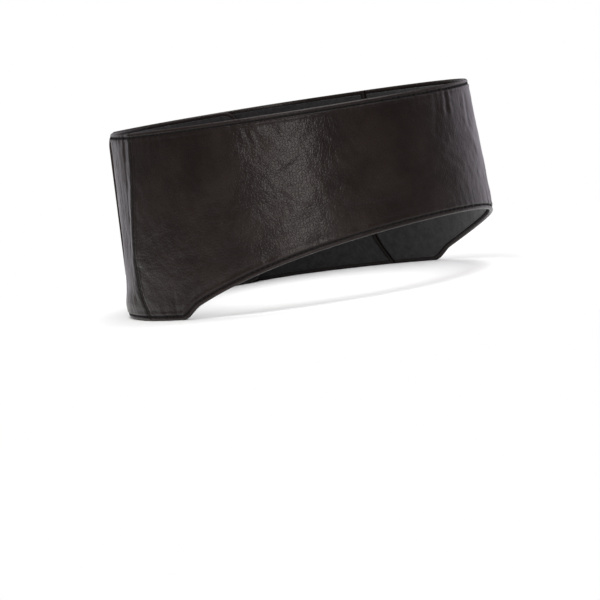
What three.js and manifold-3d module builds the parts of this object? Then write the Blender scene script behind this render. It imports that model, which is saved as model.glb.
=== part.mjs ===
// A leather ear-warmer headband: a wide shaped band that sits round the forehead and over both ears,
// with two back panels that overlap at the nape and close with a hook and loop fastening.
// Millimetres, +Z up. The wearer faces -Y and the wearer's right is -X.
// The band stands on the straight lower edge of its back half, in its worn, fastened shape.

import * as THREE from "three";
import { mergeVertices } from "three/addons/utils/BufferGeometryUtils.js";
import Module from "manifold-3d";

const wasm = await Module();
wasm.setup();

// ---- Driving dimensions ----

const GIRTH = 560; // round the outside at half height
const LENGTH_TO_WIDTH = 1.24; // of the oval, front to back over side to side
const EAR_HEIGHT = 88; // over the ears and round the back
const FRONT_HEIGHT = 58; // at the middle of the forehead
const TAPER = 3.6; // the oval's radius is this much smaller at the top than at the bottom

// The lower edge: an arch over the brow, then a short step down to each ear lobe.
const ARCH_END = 127; // along the band, from the middle of the forehead
const ARCH_END_HEIGHT = 6.3;
const LOBE_START = 140;

// The seams behind the ears, where the main panel meets the back panels.
const SEAM = 166;
const SEAM_BOW = 11;
const SEAM_BOW_REACH = 40;
const SEAM_BOW_POWER = 1.87; // puts the widest point of the bow low on the seam
const SEAM_GAP = 0.3;

// The back panels pass the middle of the back by this much, one over the other.
const OVERLAP_OUTER = 42;
const OVERLAP_INNER = 42;
const TAIL_CORNER = 8;

// Materials' thicknesses and the free gap between layers.
const GAP = 0.3;
const LEATHER = 0.8;
const PADDING = 1.0;
const LINING = 0.5;
const TAIL_LINING = 0.4;
const PATCH = 0.7;
const THREAD = 0.5; // diameter

// Turned edges, and the distances of the lining and the stitching from the edge.
const HEM = 7;
const LINING_INSET = 2;
const STITCH_INSET = 2;

// The hook and loop patches.
const PATCH_HEIGHT = 56;
const HOOK_LENGTH = 60;
const LOOP_LENGTH = 74;
const PATCH_INSET = 5; // from the end of its back panel
const PATCH_STITCH = 2.5;

// Depths of the layers, measured inwards from the outside of the leather.
const HEM_DEPTH = 2 * LEATHER + GAP;
const PADDING_DEPTH = LEATHER + GAP;
const LINING_DEPTH = PADDING_DEPTH + PADDING + GAP;
const TAIL_LINING_DEPTH = HEM_DEPTH + GAP;
const TAIL_DEPTH = TAIL_LINING_DEPTH + TAIL_LINING;
const TAIL_RISE = TAIL_DEPTH + 2 * PATCH + 3 * GAP; // of the outer back panel over the inner one
const RISE_START = 8; // past the seam
const RISE_LENGTH = 56;

// Mesh steps.
const COLUMN = 7;
const ROWS = 10;
const STEP_COLUMNS = 4; // on the step down to the ear lobe
const CORNER_STEPS = 4;
const THREAD_STEP = 8;
const THREAD_SIDES = 6; // even

const HALF = GIRTH / 2;

// ---- The surface of the band ----

const oval = (width, length) => {
  const curve = new THREE.EllipseCurve(0, 0, width, length, -Math.PI / 2, 1.5 * Math.PI, true);
  curve.arcLengthDivisions = 1440;
  return curve;
};
const HALF_WIDTH = GIRTH / oval(1, LENGTH_TO_WIDTH).getLength();
const HALF_LENGTH = HALF_WIDTH * LENGTH_TO_WIDTH;
const path = oval(HALF_WIDTH, HALF_LENGTH);

const smooth = (from, to, x) => THREE.MathUtils.smoothstep(x, from, to);

// How far along the band the seam bows backwards at height z.
const bow = (z) => SEAM_BOW * Math.sin(Math.PI * (1 - z / EAR_HEIGHT) ** SEAM_BOW_POWER);

// The outer back panel climbs over the inner one on the wearer's left.
const rise = (s) => TAIL_RISE * smooth(SEAM + RISE_START, SEAM + RISE_START + RISE_LENGTH, -s);

// The point at distance s along the band from the middle of the forehead, positive on the wearer's
// right, at height z and at a depth inwards from the outside of the leather.
function onBand(s, z, depth = 0, isOuter = false) {
  const height = THREE.MathUtils.clamp(z, 0, EAR_HEIGHT);
  const near = 1 - smooth(0, SEAM_BOW_REACH, Math.abs(Math.abs(s) - SEAM));
  const along = s + Math.sign(s) * bow(height) * near;
  const u = THREE.MathUtils.euclideanModulo(along / GIRTH, 1);
  const point = path.getPointAt(u);
  const tangent = path.getTangentAt(u);
  const out = TAPER * (0.5 - height / EAR_HEIGHT) - depth + (isOuter ? rise(s) : 0);
  return new THREE.Vector3(point.x - tangent.y * out, point.y + tangent.x * out, z);
}

// The height of the lower edge: a parabola over the brow, a rounded step, then level.
function lowerEdge(s) {
  const top = EAR_HEIGHT - FRONT_HEIGHT;
  const drop = top - ARCH_END_HEIGHT;
  const x = Math.abs(s);
  if (x <= ARCH_END) return top - drop * (x / ARCH_END) ** 2;
  if (x >= LOBE_START) return 0;
  const span = LOBE_START - ARCH_END;
  const slope = (-2 * drop * span) / ARCH_END;
  const t = (x - ARCH_END) / span;
  return ARCH_END_HEIGHT * (1 + 2 * t) * (1 - t) ** 2 + slope * t * (1 - t) ** 2;
}

// ---- Panels, cut from flat patterns and wrapped on the band ----

// The mesh has a column at each of these, so that it follows the step down to the ear lobe.
const STEP_STOPS = [-1, 1].flatMap((side) =>
  Array.from({ length: STEP_COLUMNS + 1 }, (_, i) =>
    side * THREE.MathUtils.lerp(ARCH_END, LOBE_START, i / STEP_COLUMNS),
  ),
).sort((a, b) => a - b);

// A pattern's outline: the stretch [start, end] along the band, with rounded corners at its free end.
// Insetting it by a margin gives the outline of a smaller piece that lies inside it.
class Pattern {
  constructor(start, end, corner = 0, isOuter = false) {
    Object.assign(this, { start, end, corner, isOuter });
    this.margin = 0;
  }
  inset(margin) {
    const turn = Math.sign(this.end - this.start);
    const corner = Math.max(this.corner - margin, 0);
    const smaller = new Pattern(this.start + turn * margin, this.end - turn * margin, corner, this.isOuter);
    smaller.margin = this.margin + margin;
    return smaller;
  }
  // How much the rounded corner takes off the height at s.
  cornerCut(s) {
    const fromEnd = Math.abs(this.end - s);
    if (fromEnd >= this.corner) return 0;
    return this.corner - Math.sqrt(this.corner ** 2 - (this.corner - fromEnd) ** 2);
  }
  low(s) {
    return lowerEdge(s) + this.margin + this.cornerCut(s);
  }
  high(s) {
    return EAR_HEIGHT - this.margin - this.cornerCut(s);
  }
  // The distances along the band at which the mesh has a column, in rising order.
  columns() {
    const turn = Math.sign(this.end - this.start);
    const shoulder = this.end - turn * this.corner;
    const [from, to] = [Math.min(this.start, shoulder), Math.max(this.start, shoulder)];
    const stops = [from, ...STEP_STOPS.filter((s) => s > from + 1 && s < to - 1), to];
    const found = [from];
    for (let k = 1; k < stops.length; k++) {
      const count = Math.ceil((stops[k] - stops[k - 1]) / COLUMN);
      for (let i = 1; i <= count; i++) found.push(THREE.MathUtils.lerp(stops[k - 1], stops[k], i / count));
    }
    for (let i = 1; this.corner > 0 && i <= CORNER_STEPS; i++) {
      const s = shoulder + turn * this.corner * Math.sin((Math.PI / 2) * (i / CORNER_STEPS));
      if (turn > 0) found.push(s);
      else found.unshift(s);
    }
    return found;
  }
  place(s, z, depth) {
    return onBand(s, z, depth, this.isOuter);
  }
}

// A closed slab over a pattern, between two depths.
function slab(pattern, outerDepth, innerDepth) {
  const columns = pattern.columns();
  const rows = ROWS + 1;
  const points = [];
  for (const depth of [outerDepth, innerDepth]) {
    for (const s of columns) {
      for (let j = 0; j < rows; j++) {
        const z = THREE.MathUtils.lerp(pattern.low(s), pattern.high(s), j / ROWS);
        points.push(pattern.place(s, z, depth));
      }
    }
  }
  const at = (side, i, j) => (side * columns.length + i) * rows + j;
  const index = [];
  const quad = (a, b, c, d) => index.push(a, b, c, a, c, d);
  const last = columns.length - 1;
  for (let i = 0; i < last; i++) {
    for (let j = 0; j < ROWS; j++) {
      quad(at(0, i, j), at(0, i, j + 1), at(0, i + 1, j + 1), at(0, i + 1, j));
      quad(at(1, i, j), at(1, i + 1, j), at(1, i + 1, j + 1), at(1, i, j + 1));
    }
    quad(at(0, i, 0), at(0, i + 1, 0), at(1, i + 1, 0), at(1, i, 0));
    quad(at(0, i, ROWS), at(1, i, ROWS), at(1, i + 1, ROWS), at(0, i + 1, ROWS));
  }
  for (let j = 0; j < ROWS; j++) {
    quad(at(0, 0, j), at(1, 0, j), at(1, 0, j + 1), at(0, 0, j + 1));
    quad(at(0, last, j), at(0, last, j + 1), at(1, last, j + 1), at(1, last, j));
  }
  return new THREE.BufferGeometry().setFromPoints(points).setIndex(index);
}

function solid(geometry) {
  const bare = new THREE.BufferGeometry()
    .setAttribute("position", geometry.getAttribute("position"))
    .setIndex(geometry.index);
  const merged = mergeVertices(bare, 1e-4);
  return new wasm.Manifold(
    new wasm.Mesh({
      numProp: 3,
      vertProperties: merged.getAttribute("position").array,
      triVerts: new Uint32Array(merged.index.array),
    }),
  );
}

function geometryOf(manifold) {
  const { vertProperties, triVerts } = manifold.getMesh();
  return new THREE.BufferGeometry()
    .setAttribute("position", new THREE.BufferAttribute(vertProperties, 3))
    .setIndex(new THREE.BufferAttribute(triVerts, 1));
}

// A leather panel with its edge turned in all round: an outer wall, and a hem behind it.
function turnedPanel(pattern) {
  const fold = slab(pattern.inset(LEATHER), LEATHER, LEATHER + GAP);
  const window = slab(pattern.inset(HEM + LEATHER), LEATHER + GAP / 2, HEM_DEPTH + GAP);
  return geometryOf(solid(slab(pattern, 0, HEM_DEPTH)).subtract(solid(fold)).subtract(solid(window)));
}

// ---- Threads ----

// A thread that lies just off a panel's outside, or just inside it where depth is positive.
function thread(pattern, route, depth = -GAP - THREAD / 2) {
  const points = route.map(([s, z]) => pattern.place(s, z, depth));
  const curve = new THREE.CatmullRomCurve3(points, false, "centripetal");
  const section = new THREE.Shape();
  section.absarc(0, 0, THREAD / 2, 0, 2 * Math.PI);
  return new THREE.ExtrudeGeometry(section, {
    steps: points.length - 1,
    curveSegments: THREAD_SIDES / 2,
    extrudePath: curve,
  });
}

// The points from one place to another on the flat pattern, without the last one.
function line(from, to, heightAt = null) {
  const length = Math.hypot(to[0] - from[0], to[1] - from[1]);
  const count = Math.max(2, Math.round(length / THREAD_STEP));
  return Array.from({ length: count }, (_, i) => {
    const s = THREE.MathUtils.lerp(from[0], to[0], i / count);
    return [s, heightAt ? heightAt(s) : THREE.MathUtils.lerp(from[1], to[1], i / count)];
  });
}

const topRoute = (pattern) => {
  const z = EAR_HEIGHT - STITCH_INSET;
  return [...line([pattern.start, z], [pattern.end, z]), [pattern.end, z]];
};

const bottomRoute = (pattern) => {
  const height = (s) => lowerEdge(s) + STITCH_INSET;
  return [
    ...line([pattern.start, 0], [pattern.end, 0], height),
    [pattern.end, height(pattern.end)],
  ];
};

// Along the top of a back panel, round its free end and back along the bottom.
const endRoute = (pattern) => {
  const turn = Math.sign(pattern.end - pattern.start);
  const end = pattern.end - turn * STITCH_INSET;
  const radius = TAIL_CORNER - STITCH_INSET;
  const [low, high] = [STITCH_INSET, EAR_HEIGHT - STITCH_INSET];
  const first = pattern.start + turn * STITCH_INSET;
  const corner = end - turn * radius;
  const round = (centre, from, to) =>
    Array.from({ length: CORNER_STEPS + 1 }, (_, i) => {
      const angle = THREE.MathUtils.lerp(from, to, i / CORNER_STEPS);
      return [corner + turn * radius * Math.cos(angle), centre + radius * Math.sin(angle)];
    });
  return [
    ...line([first, high], [corner, high]),
    ...round(high - radius, Math.PI / 2, 0),
    ...line([end, high - radius], [end, low + radius]).slice(1),
    ...round(low + radius, 0, -Math.PI / 2),
    ...line([corner, low], [first, low]).slice(1),
    [first, low],
  ];
};

const seamRoute = (side) => {
  const s = side * (SEAM - STITCH_INSET);
  const [low, high] = [2 * STITCH_INSET, EAR_HEIGHT - 2 * STITCH_INSET];
  return [...line([s, low], [s, high]), [s, high]];
};

// Once round a patch, the two ends of the thread a little apart.
const patchRoute = (pattern) => {
  const turn = Math.sign(pattern.end - pattern.start);
  const [near, far] = [pattern.start + turn * PATCH_STITCH, pattern.end - turn * PATCH_STITCH];
  const low = (EAR_HEIGHT - PATCH_HEIGHT) / 2 + PATCH_STITCH;
  const high = EAR_HEIGHT - low;
  return [
    ...line([near + turn * 2 * THREAD, low], [far, low]),
    ...line([far, low], [far, high]),
    ...line([far, high], [near, high]),
    ...line([near, high], [near, low + 2 * THREAD]),
    [near, low + 2 * THREAD],
  ];
};

// ---- The patterns ----

const main = new Pattern(-SEAM + SEAM_GAP / 2, SEAM - SEAM_GAP / 2);
const right = new Pattern(SEAM + SEAM_GAP / 2, HALF + OVERLAP_INNER, TAIL_CORNER);
const left = new Pattern(-SEAM - SEAM_GAP / 2, -HALF - OVERLAP_OUTER, TAIL_CORNER, true);

// A patch is a plain rectangle near the free end of its back panel.
class PatchPattern extends Pattern {
  low() {
    return (EAR_HEIGHT - PATCH_HEIGHT) / 2;
  }
  high() {
    return (EAR_HEIGHT + PATCH_HEIGHT) / 2;
  }
}
const loop = new PatchPattern(right.end - PATCH_INSET - LOOP_LENGTH, right.end - PATCH_INSET);
const hook = new PatchPattern(left.end + PATCH_INSET + HOOK_LENGTH, left.end + PATCH_INSET, 0, true);

const HOOK_DEPTH = TAIL_DEPTH + GAP;

// ---- The finished parts ----

const leather = () => new THREE.MeshStandardMaterial({ color: 0x2b2422, roughness: 0.48, metalness: 0 });
const fabric = () => new THREE.MeshStandardMaterial({ color: 0x2c2b2e, roughness: 0.95, metalness: 0 });
const foam = () => new THREE.MeshStandardMaterial({ color: 0x8b8780, roughness: 0.9, metalness: 0 });
const tape = () => new THREE.MeshStandardMaterial({ color: 0x161617, roughness: 0.8, metalness: 0 });
const yarn = () => new THREE.MeshStandardMaterial({ color: 0x1a1617, roughness: 0.6, metalness: 0 });

const pieces = {
  main_panel: [turnedPanel(main), leather()],
  main_padding: [
    slab(main.inset(HEM + 2 * LEATHER), PADDING_DEPTH, PADDING_DEPTH + PADDING),
    foam(),
  ],
  main_lining: [slab(main.inset(LINING_INSET), LINING_DEPTH, LINING_DEPTH + LINING), fabric()],
  right_back_panel: [turnedPanel(right), leather()],
  right_back_lining: [slab(right.inset(LINING_INSET), TAIL_LINING_DEPTH, TAIL_DEPTH), fabric()],
  left_back_panel: [turnedPanel(left), leather()],
  left_back_lining: [slab(left.inset(LINING_INSET), TAIL_LINING_DEPTH, TAIL_DEPTH), fabric()],
  loop_patch: [slab(loop, -GAP - PATCH, -GAP), tape()],
  hook_patch: [slab(hook, HOOK_DEPTH, HOOK_DEPTH + PATCH), tape()],
  top_edge_thread: [thread(main, topRoute(main.inset(STITCH_INSET))), yarn()],
  bottom_edge_thread: [thread(main, bottomRoute(main.inset(STITCH_INSET))), yarn()],
  right_seam_thread: [thread(main, seamRoute(1)), yarn()],
  left_seam_thread: [thread(main, seamRoute(-1)), yarn()],
  right_back_edge_thread: [thread(right, endRoute(right)), yarn()],
  left_back_edge_thread: [thread(left, endRoute(left)), yarn()],
  loop_patch_thread: [thread(right, patchRoute(loop), TAIL_DEPTH + GAP + THREAD / 2), yarn()],
  hook_patch_thread: [thread(left, patchRoute(hook)), yarn()],
};

const band = new THREE.Group();
for (const [name, [geometry, material]] of Object.entries(pieces)) {
  const mesh = new THREE.Mesh(geometry, material);
  mesh.name = name;
  band.add(mesh);
}

// The origin is below the middle of the whole band, on the surface that it stands on.
const box = new THREE.Box3().setFromObject(band);
const centre = box.getCenter(new THREE.Vector3());
band.position.set(-centre.x, -centre.y, -box.min.z);

export default band;
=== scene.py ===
"""Leather, lining, stitching and closure of an ear-warmer headband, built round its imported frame.

The wearer faces -Y and the wearer's right is -X. Sizes on the band are in millimetres: s runs along the
band from the middle of the forehead, positive on the wearer's right, and z is the height.
"""

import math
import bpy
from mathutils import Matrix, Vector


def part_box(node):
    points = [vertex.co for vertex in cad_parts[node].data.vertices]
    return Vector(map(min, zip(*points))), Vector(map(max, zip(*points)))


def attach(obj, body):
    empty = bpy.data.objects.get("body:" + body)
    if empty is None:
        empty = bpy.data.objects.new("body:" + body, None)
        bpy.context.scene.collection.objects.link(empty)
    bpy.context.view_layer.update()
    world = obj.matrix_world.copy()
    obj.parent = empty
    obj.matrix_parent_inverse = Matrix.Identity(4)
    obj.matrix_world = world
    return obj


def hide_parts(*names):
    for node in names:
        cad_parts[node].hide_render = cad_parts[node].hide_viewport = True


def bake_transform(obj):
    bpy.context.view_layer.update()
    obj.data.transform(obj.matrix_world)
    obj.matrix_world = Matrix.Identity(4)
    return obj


bl_info = {
    "name": "Leather Ear Warmer",
    "version": (1, 0, 0),
    "blender": (4, 5, 0),
    "location": "View3D > Sidebar > Ear Warmer",
    "description": "Sews a leather ear-warmer headband round its frame",
    "category": "Object",
}

import bpy
import numpy as np
from bpy.props import FloatProperty, FloatVectorProperty, IntProperty, PointerProperty
from mathutils import Matrix, Vector

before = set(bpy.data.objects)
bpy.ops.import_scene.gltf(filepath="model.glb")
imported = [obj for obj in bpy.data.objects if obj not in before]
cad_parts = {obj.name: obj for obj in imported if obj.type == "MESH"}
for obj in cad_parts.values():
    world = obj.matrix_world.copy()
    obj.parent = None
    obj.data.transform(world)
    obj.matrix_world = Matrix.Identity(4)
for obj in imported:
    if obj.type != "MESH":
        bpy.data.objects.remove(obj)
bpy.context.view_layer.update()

MM = 0.001

# ---- The band's sizes, in millimetres, as in the frame ----

GIRTH = 560.0
LENGTH_TO_WIDTH = 1.24
FRONT_HEIGHT = 58.0
TAPER = 3.6
ARCH_END = 127.0
ARCH_END_HEIGHT = 6.3
LOBE_START = 140.0

SEAM = 166.0
SEAM_BOW = 11.0
SEAM_BOW_REACH = 40.0
SEAM_BOW_POWER = 1.87
SEAM_GAP = 0.04
SEAM_CORNER = 1.1  # how far the band stands out at the seams
SEAM_STEP = 0.35  # how far the main panel's edge stands above the back panels

OVERLAP = 42.0
TAIL_CORNER = 8.0

GAP = 0.3
LEATHER = 0.8
PADDING = 1.0
LINING = 0.5
TAIL_LINING = 0.4
PATCH = 0.7

HEM = 7.0
LINING_INSET = 2.0
STITCH_INSET = 2.0
PATCH_HEIGHT = 56.0
HOOK_LENGTH = 60.0
LOOP_LENGTH = 74.0
PATCH_INSET = 5.0
PATCH_STITCH = 2.5
THREAD_STANDS = 0.12  # how far a stitch's middle stands out from the leather under it

HEM_DEPTH = 2 * LEATHER + GAP
PADDING_DEPTH = LEATHER + GAP
LINING_DEPTH = PADDING_DEPTH + PADDING + GAP
TAIL_LINING_DEPTH = HEM_DEPTH + GAP
TAIL_DEPTH = TAIL_LINING_DEPTH + TAIL_LINING
TAIL_RISE = TAIL_DEPTH + 2 * PATCH + 3 * GAP
RISE_START = 8.0
RISE_LENGTH = 56.0

# Two places behind each seam, counted along the band from the forehead, between which the back panels would
# bend; nothing bends them.
BEND_START = 177.0
BEND_END = 195.0

HEIGHT = (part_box("main_panel")[1][2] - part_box("main_panel")[0][2]) / MM

# ---- The surface of the band ----

_turn = np.linspace(0.0, 2 * np.pi, 2881)
_unit = np.stack([-np.sin(_turn), -LENGTH_TO_WIDTH * np.cos(_turn)], axis=1)
_steps = np.linalg.norm(np.diff(_unit, axis=0), axis=1)
_travel = np.concatenate([[0.0], np.cumsum(_steps)])
HALF_WIDTH = GIRTH / _travel[-1]
HALF_LENGTH = HALF_WIDTH * LENGTH_TO_WIDTH
_travel *= HALF_WIDTH

# The oval's middle lies this far along Y in the frame.
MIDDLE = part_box("main_panel")[0][1] / MM + HALF_LENGTH + TAPER / 2


def smooth(x, start, end):
    t = np.clip((x - start) / (end - start), 0.0, 1.0)
    return t * t * (3 - 2 * t)


def bow(z):
    """How far the seams bow backwards at height z."""
    return SEAM_BOW * np.sin(np.pi * (1 - z / HEIGHT) ** SEAM_BOW_POWER)


def on_band(s, z, depth=0.0, climbs=False):
    """Points in metres at s along the band and height z, at a depth inwards from the leather's outside."""
    s, z, depth = np.broadcast_arrays(np.asarray(s, float), np.asarray(z, float), np.asarray(depth, float))
    height = np.clip(z, 0.0, HEIGHT)
    near = 1 - smooth(np.abs(np.abs(s) - SEAM), 0.0, SEAM_BOW_REACH)
    along = np.mod(s + np.sign(s) * bow(height) * near, GIRTH)
    turn = np.interp(along, _travel, _turn)
    run = np.stack([-HALF_WIDTH * np.cos(turn), HALF_LENGTH * np.sin(turn)])
    run /= np.linalg.norm(run, axis=0)
    out = TAPER * (0.5 - height / HEIGHT) - depth
    if climbs:
        out = out + TAIL_RISE * smooth(-s, SEAM + RISE_START, SEAM + RISE_START + RISE_LENGTH)
    x = -HALF_WIDTH * np.sin(turn) - run[1] * out
    y = -HALF_LENGTH * np.cos(turn) + run[0] * out + MIDDLE
    return np.stack([x, y, z], axis=-1) * MM


def lower_edge(s):
    """The height of the lower edge: a parabola over the brow, a rounded step, then level."""
    x = np.abs(s)
    top = HEIGHT - FRONT_HEIGHT
    drop = top - ARCH_END_HEIGHT
    span = LOBE_START - ARCH_END
    slope = -2 * drop * span / ARCH_END
    t = np.clip((x - ARCH_END) / span, 0.0, 1.0)
    step = ARCH_END_HEIGHT * (1 + 2 * t) * (1 - t) ** 2 + slope * t * (1 - t) ** 2
    return np.where(x <= ARCH_END, top - drop * (x / ARCH_END) ** 2, step)


# ---- Patterns ----


class Pattern:
    """The outline of a piece laid flat: a stretch along the band, with rounded corners at its free end."""

    def __init__(self, start, end, corner=0.0, climbs=False, margin=0.0):
        self.start, self.end, self.corner = start, end, corner
        self.climbs, self.margin = climbs, margin
        self.turn = 1.0 if end > start else -1.0

    def inset(self, margin):
        ends = self.start + self.turn * margin, self.end - self.turn * margin
        return Pattern(*ends, max(self.corner - margin, 0.0), self.climbs, self.margin + margin)

    def low(self, s):
        return lower_edge(s) + self.margin

    def high(self, s):
        return HEIGHT - self.margin + 0 * s

    def corner_cut(self, s):
        """How much the rounded corner takes off the height."""
        inwards = np.clip(self.corner - self.turn * (self.end - s), 0.0, self.corner)
        return self.corner - np.sqrt(np.maximum(self.corner**2 - inwards**2, 0.0))

    def to_edge(self, s, z):
        """How far a point lies inside the outline."""
        slope = (self.low(s + 0.05) - self.low(s - 0.05)) / 0.1
        below = (z - self.low(s)) / np.sqrt(1 + slope**2)
        above = self.high(s) - z
        first, last = self.turn * (s - self.start), self.turn * (self.end - s)
        edge = np.minimum(np.minimum(below, above), np.minimum(first, last))
        if self.corner > 0:
            side = np.minimum(z - self.low(s), above)
            inside = self.corner - np.hypot(self.corner - last, self.corner - side)
            edge = np.where((last < self.corner) & (side < self.corner), inside, edge)
        return np.maximum(edge, 0.0)

    def columns(self, step, bevel):
        """Places along the band, crowded at both ends so that they can be rounded."""
        length = abs(self.end - self.start)
        ease = bevel * (1 - np.cos(np.linspace(0.0, np.pi / 2, 6)))
        tip = ease
        if self.corner > 0:
            tip = self.corner * (1 - np.cos(np.linspace(0.0, np.pi / 2, 22)))
        count = max(int(round((length - ease[-1] - tip[-1]) / step)), 1)
        even = np.linspace(ease[-1], length - tip[-1], count + 1)[1:-1]
        return self.start + self.turn * np.concatenate([ease, even, (length - tip)[::-1]])

    def heights(self, s, near_edge, step):
        """Heights up one column. near_edge holds the distances from both edges where rows are crowded."""
        low, high = self.low(s) + self.corner_cut(s), self.high(s) - self.corner_cut(s)
        tall = HEIGHT - 2 * self.margin - 2 * near_edge[-1]
        count = int(round(tall / step))
        part = np.linspace(0.0, 1.0, count + 1)[None, 1:-1]
        bottom = low[:, None] + near_edge[None, :]
        top = high[:, None] - near_edge[None, ::-1]
        middle = bottom[:, -1:] * (1 - part) + top[:, :1] * part
        return np.concatenate([bottom, middle, top], axis=1)


class PatchPattern(Pattern):
    """A rectangle at the middle of the band's height."""

    def low(self, s):
        return (HEIGHT - PATCH_HEIGHT) / 2 + self.margin + 0 * s

    def high(self, s):
        return (HEIGHT + PATCH_HEIGHT) / 2 - self.margin + 0 * s

    def heights(self, s, near_edge, step):
        tall = PATCH_HEIGHT - 2 * self.margin
        inner = np.linspace(near_edge[-1], tall - near_edge[-1], int(round(tall / step)))[1:-1]
        up = np.concatenate([near_edge, inner, (tall - near_edge)[::-1]])
        return self.low(s)[:, None] + up[None, :]


HALF = GIRTH / 2
MAIN = Pattern(-SEAM + SEAM_GAP / 2, SEAM - SEAM_GAP / 2)
RIGHT = Pattern(SEAM + SEAM_GAP / 2, HALF + OVERLAP, TAIL_CORNER)
LEFT = Pattern(-SEAM - SEAM_GAP / 2, -HALF - OVERLAP, TAIL_CORNER, climbs=True)
LOOP = PatchPattern(RIGHT.end - PATCH_INSET - LOOP_LENGTH, RIGHT.end - PATCH_INSET)
HOOK = PatchPattern(LEFT.end + PATCH_INSET + HOOK_LENGTH, LEFT.end + PATCH_INSET, climbs=True)

# Each leather panel's pattern, body and the start of its random draws.
PANELS = {
    "main_panel": (MAIN, "band", 11),
    "right_back_panel": (RIGHT, "right_back", 31),
    "left_back_panel": (LEFT, "left_back", 51),
}

# ---- How the leather lies ----


def waves(s, z, seed, length, spread=0.4, lean=0.0, fan=math.pi, count=28):
    """A smooth random field of unit size. Its waves have about this length and cross the direction lean."""
    rng = np.random.default_rng(seed)
    total = np.zeros(np.broadcast(s, z).shape)
    for _ in range(count):
        rate = 2 * math.pi / (length * rng.uniform(1 - spread, 1 + spread))
        way = lean + fan * (rng.random() - 0.5)
        total += np.cos(rate * (s * math.cos(way) + z * math.sin(way)) + rng.uniform(0, 2 * math.pi))
    return total * math.sqrt(2 / count)


def creases(s, z, seed, length, width, **more):
    """Narrow lines, 0 to 1, where a random field changes sign."""
    return np.exp(-((waves(s, z, seed, length, **more) / width) ** 2))


# Folds of the main panel, as (s, z) of both ends, half width and height.
FOLDS = (
    ((90.0, 86.0), (84.5, 73.0), 1.0, -0.08),
    ((86.5, 85.5), (81.0, 74.0), 1.1, -0.09),
    ((88.0, 85.0), (83.0, 74.0), 1.0, 0.06),
    ((76.0, 61.0), (63.0, 66.0), 1.3, -0.20),
    ((84.0, 59.0), (66.0, 68.0), 1.8, 0.16),
    ((41.0, 82.5), (12.0, 78.5), 1.5, -0.16),
    ((38.0, 61.0), (17.0, 59.0), 1.7, -0.14),
    ((-13.0, 85.5), (-10.0, 72.0), 1.3, 0.26),
    ((-18.0, 85.5), (-16.5, 73.0), 1.2, 0.24),
    ((-15.5, 86.0), (-13.5, 72.0), 1.3, -0.28),
    ((-8.0, 85.0), (-3.0, 66.0), 1.6, -0.20),
    ((-33.0, 83.0), (-28.0, 64.0), 2.0, 0.24),
    ((-37.0, 84.0), (-33.0, 62.0), 2.0, -0.24),
    ((-31.0, 67.0), (-41.0, 52.0), 2.2, 0.22),
    ((3.0, 57.0), (11.0, 51.0), 1.6, -0.18),
    ((-12.0, 54.0), (-19.0, 50.0), 1.5, -0.16),
    ((139.0, 1.0), (133.0, 14.0), 1.1, 0.26),
    ((136.0, 1.5), (129.0, 13.0), 1.1, -0.24),
    ((143.0, 1.0), (141.0, 15.0), 1.2, -0.20),
    ((132.0, 3.0), (122.0, 13.0), 1.2, 0.20),
)


def fold(s, z, start, end, width, height):
    """One straight fold that fades out at both ends."""
    (s0, z0), (s1, z1) = start, end
    length = math.hypot(s1 - s0, z1 - z0)
    run, rise = (s1 - s0) / length, (z1 - z0) / length
    along = ((s - s0) * run + (z - z0) * rise) / length
    across = (z - z0) * run - (s - s0) * rise
    fade = smooth(along, -0.1, 0.25) * (1 - smooth(along, 0.6, 1.1))
    return height * fade * np.exp(-((across / width) ** 2))


def stitched(distance, along, pitch):
    """A turned edge: a rolled rim, the furrow of its stitching, deepest at the holes, and a low ridge."""
    hole = 0.5 + 0.5 * np.cos(2 * np.pi * along / pitch)
    rim = 0.10 * np.exp(-(((distance - 0.9) / 0.6) ** 2))
    furrow = -(0.30 + 0.25 * hole) * np.exp(-(((distance - STITCH_INSET) / 0.5) ** 2))
    ridge = 0.16 * np.exp(-(((distance - STITCH_INSET - 1.2) / 0.7) ** 2))
    step = -0.10 * np.exp(-(((distance - STITCH_INSET - 2.8) / 0.9) ** 2))
    return rim + furrow + ridge + step


def lie_of_leather(pattern, s, z, seed, settings):
    """How far the outside of the leather stands out from the plain surface, in millimetres.

    The leather lies flat where a tape is sewn on.
    """
    slope = (lower_edge(s + 0.05) - lower_edge(s - 0.05)) / 0.1
    below = (z - pattern.low(s)) / np.sqrt(1 + slope**2)
    above = pattern.high(s) - z
    first = pattern.turn * (s - pattern.start)
    hemmed = np.minimum(below, above)
    if pattern.corner > 0:
        hemmed = np.where(first < HEM, hemmed, pattern.to_edge(s, z))
    pitch = settings.stitch_pitch / MM
    inside = smooth(hemmed, STITCH_INSET, STITCH_INSET + 10.0)
    pucker = np.exp(-np.maximum(hemmed - STITCH_INSET, 0.0) / 4.5) * smooth(hemmed, 0.4, STITCH_INSET)
    small = waves(s, 0.25 * z, seed, 6.5, fan=0.5) + 0.6 * waves(s, 0.3 * z, seed + 1, 3.8, fan=0.4)
    uneven = 0.5 + smooth(waves(s, z, seed + 7, 60.0), -1.0, 1.2)
    height = 0.05 * pucker * small * uneven
    height += 0.22 * inside
    height += 0.13 * inside * waves(s, z, seed + 2, 58.0)
    height += 0.055 * inside * waves(s, z, seed + 3, 19.0)
    height += 0.022 * inside * waves(s, z, seed + 4, 6.0)
    line = creases(s, z, seed + 5, 26.0, 0.07)
    where = smooth(waves(s, z, seed + 6, 34.0), 0.0, 1.3)
    height -= 0.11 * inside * line * where
    if pattern is RIGHT:
        height *= 1 - smooth(s, LOOP.start - 12.0, LOOP.start - 1.0)
    elif pattern is LEFT:
        height *= 1 - 0.6 * smooth(-s, -HOOK.start - 12.0, -HOOK.start - 1.0)
    return (height + stitched(hemmed, s, pitch)) * settings.wrinkle_height


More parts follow.
